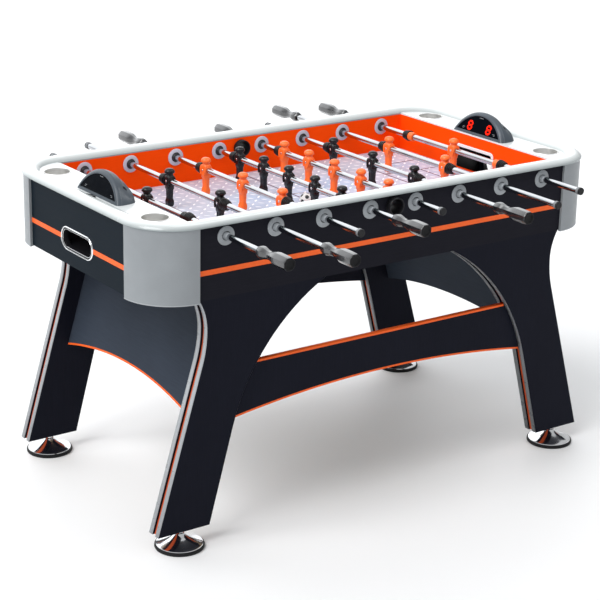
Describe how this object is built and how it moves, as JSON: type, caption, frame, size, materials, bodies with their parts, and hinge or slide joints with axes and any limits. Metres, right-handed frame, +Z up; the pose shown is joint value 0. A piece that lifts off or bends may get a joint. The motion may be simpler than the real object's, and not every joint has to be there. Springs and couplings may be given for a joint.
{
  "type": "foosball table",
  "caption": "Home foosball table: rounded white top rail, sliding and spinning chrome rods with players and handles, cup holders, arched scorers and splayed legs on leveling feet.",
  "frame": {"origin": "on the floor, under the middle of the playfield", "axes": "+X along the table's length to the right end as seen from the front, -Y towards the front, where the black team's handles are, +Z up"},
  "size_m": [1.422, 1.37, 0.89],
  "materials": {
    "black_laminate": "satin",
    "charcoal_laminate": "satin",
    "orange_laminate": "gloss",
    "white_rail": "gloss",
    "silver_cap": "satin",
    "field_print": "satin",
    "raw_board": "raw",
    "bearing_plastic": "satin",
    "black_plastic": "satin",
    "white_plastic": "gloss",
    "chrome_trim": "polished",
    "cup_metal": "brushed",
    "scorer_shell": "satin",
    "scorer_window": "gloss",
    "circuit_board": "satin",
    "orange_core": "satin",
    "bolt_steel": "zinc plated",
    "foot_chrome": "polished",
    "ball_plastic": "satin",
    "rod_chrome": "polished",
    "black_player": "gloss",
    "orange_player": "gloss",
    "bumper_rubber": "matte",
    "grip_plastic": "satin",
    "button_plastic": "satin"
  },
  "bodies": {
    "cabinet": {"side_panels": "black_laminate", "end_panels": "charcoal_laminate", "inner_walls": "orange_laminate", "top_rail": "white_rail", "corner_caps": "silver_cap", "playfield": "field_print", "cabinet_floor": "raw_board", "rod_bearings": "bearing_plastic", "ball_entries": "black_plastic", "goal_frames": "white_plastic", "ball_return_boxes": "black_plastic", "ball_return_bezels": "chrome_trim", "cup_holders": "cup_metal", "scorer_housings": "scorer_shell", "scorer_windows": "scorer_window", "scorer_boards": "circuit_board", "leg_boards": "black_laminate", "leg_cores": "orange_core", "stretchers": "black_laminate", "end_arches": "charcoal_laminate", "leg_bolts": "bolt_steel"},
    "slider_1": {"bumpers_1": "bumper_rubber"},
    "rod_1": {"rod_1": "rod_chrome", "men_1": "black_player", "grip_1": "grip_plastic"},
    "slider_2": {"bumpers_2": "bumper_rubber"},
    "rod_2": {"rod_2": "rod_chrome", "men_2": "black_player", "grip_2": "grip_plastic"},
    "slider_3": {"bumpers_3": "bumper_rubber"},
    "rod_3": {"rod_3": "rod_chrome", "men_3": "orange_player", "grip_3": "grip_plastic"},
    "slider_4": {"bumpers_4": "bumper_rubber"},
    "rod_4": {"rod_4": "rod_chrome", "men_4": "black_player", "grip_4": "grip_plastic"},
    "slider_5": {"bumpers_5": "bumper_rubber"},
    "rod_5": {"rod_5": "rod_chrome", "men_5": "orange_player", "grip_5": "grip_plastic"},
    "slider_6": {"bumpers_6": "bumper_rubber"},
    "rod_6": {"rod_6": "rod_chrome", "men_6": "black_player", "grip_6": "grip_plastic"},
    "slider_7": {"bumpers_7": "bumper_rubber"},
    "rod_7": {"rod_7": "rod_chrome", "men_7": "orange_player", "grip_7": "grip_plastic"},
    "slider_8": {"bumpers_8": "bumper_rubber"},
    "rod_8": {"rod_8": "rod_chrome", "men_8": "orange_player", "grip_8": "grip_plastic"},
    "leveler_1": {"leveler_1": "foot_chrome"},
    "leveler_2": {"leveler_2": "foot_chrome"},
    "leveler_3": {"leveler_3": "foot_chrome"},
    "leveler_4": {"leveler_4": "foot_chrome"},
    "button_left": {"scorer_button_left": "button_plastic"},
    "button_right": {"scorer_button_right": "button_plastic"},
    "ball": {"ball": "ball_plastic"}
  },
  "joints": [
    {"name": "rod_1_slide", "type": "slide", "parent": "cabinet", "child": "slider_1", "axis": [0, 1, 0], "range_m": [-0.097, 0.103]},
    {"name": "rod_1_spin", "type": "hinge", "parent": "slider_1", "child": "rod_1", "pos_m": [-0.5005, 0, 0.7935], "axis": [0, 1, 0], "continuous": true},
    {"name": "rod_2_slide", "type": "slide", "parent": "cabinet", "child": "slider_2", "axis": [0, 1, 0], "range_m": [-0.158, 0.158]},
    {"name": "rod_2_spin", "type": "hinge", "parent": "slider_2", "child": "rod_2", "pos_m": [-0.3575, 0, 0.7935], "axis": [0, 1, 0], "continuous": true},
    {"name": "rod_3_slide", "type": "slide", "parent": "cabinet", "child": "slider_3", "axis": [0, 1, 0], "range_m": [-0.09, 0.11]},
    {"name": "rod_3_spin", "type": "hinge", "parent": "slider_3", "child": "rod_3", "pos_m": [-0.2145, 0, 0.7935], "axis": [0, 1, 0], "continuous": true},
    {"name": "rod_4_slide", "type": "slide", "parent": "cabinet", "child": "slider_4", "axis": [0, 1, 0], "range_m": [-0.0306, 0.0586]},
    {"name": "rod_4_spin", "type": "hinge", "parent": "slider_4", "child": "rod_4", "pos_m": [-0.0715, 0, 0.7935], "axis": [0, 1, 0], "continuous": true},
    {"name": "rod_5_slide", "type": "slide", "parent": "cabinet", "child": "slider_5", "axis": [0, 1, 0], "range_m": [-0.0216, 0.0676]},
    {"name": "rod_5_spin", "type": "hinge", "parent": "slider_5", "child": "rod_5", "pos_m": [0.0715, 0, 0.7935], "axis": [0, 1, 0], "continuous": true},
    {"name": "rod_6_slide", "type": "slide", "parent": "cabinet", "child": "slider_6", "axis": [0, 1, 0], "range_m": [-0.095, 0.105]},
    {"name": "rod_6_spin", "type": "hinge", "parent": "slider_6", "child": "rod_6", "pos_m": [0.2145, 0, 0.7935], "axis": [0, 1, 0], "continuous": true},
    {"name": "rod_7_slide", "type": "slide", "parent": "cabinet", "child": "slider_7", "axis": [0, 1, 0], "range_m": [-0.14, 0.176]},
    {"name": "rod_7_spin", "type": "hinge", "parent": "slider_7", "child": "rod_7", "pos_m": [0.3575, 0, 0.7935], "axis": [0, 1, 0], "continuous": true},
    {"name": "rod_8_slide", "type": "slide", "parent": "cabinet", "child": "slider_8", "axis": [0, 1, 0], "range_m": [-0.093, 0.107]},
    {"name": "rod_8_spin", "type": "hinge", "parent": "slider_8", "child": "rod_8", "pos_m": [0.5005, 0, 0.7935], "axis": [0, 1, 0], "continuous": true},
    {"name": "leveler_1_turn", "type": "hinge", "parent": "cabinet", "child": "leveler_1", "pos_m": [-0.617, -0.349, 0], "axis": [0, 0, 1], "continuous": true},
    {"name": "leveler_2_turn", "type": "hinge", "parent": "cabinet", "child": "leveler_2", "pos_m": [0.617, -0.349, 0], "axis": [0, 0, 1], "continuous": true},
    {"name": "leveler_3_turn", "type": "hinge", "parent": "cabinet", "child": "leveler_3", "pos_m": [-0.617, 0.349, 0], "axis": [0, 0, 1], "continuous": true},
    {"name": "leveler_4_turn", "type": "hinge", "parent": "cabinet", "child": "leveler_4", "pos_m": [0.617, 0.349, 0], "axis": [0, 0, 1], "continuous": true},
    {"name": "button_left_press", "type": "slide", "parent": "cabinet", "child": "button_left", "axis": [-0.6687, 0.5332, -0.5182], "range_m": [0, 0.001], "stiffness_N_per_m": 400},
    {"name": "button_right_press", "type": "slide", "parent": "cabinet", "child": "button_right", "axis": [-0.6687, 0.5332, -0.5182], "range_m": [0, 0.001], "stiffness_N_per_m": 400},
    {"name": "ball_travel", "type": "slide", "parent": "cabinet", "child": "ball", "axis": [0, 1, 0], "range_m": [-0.27, 0.352]}
  ]
}
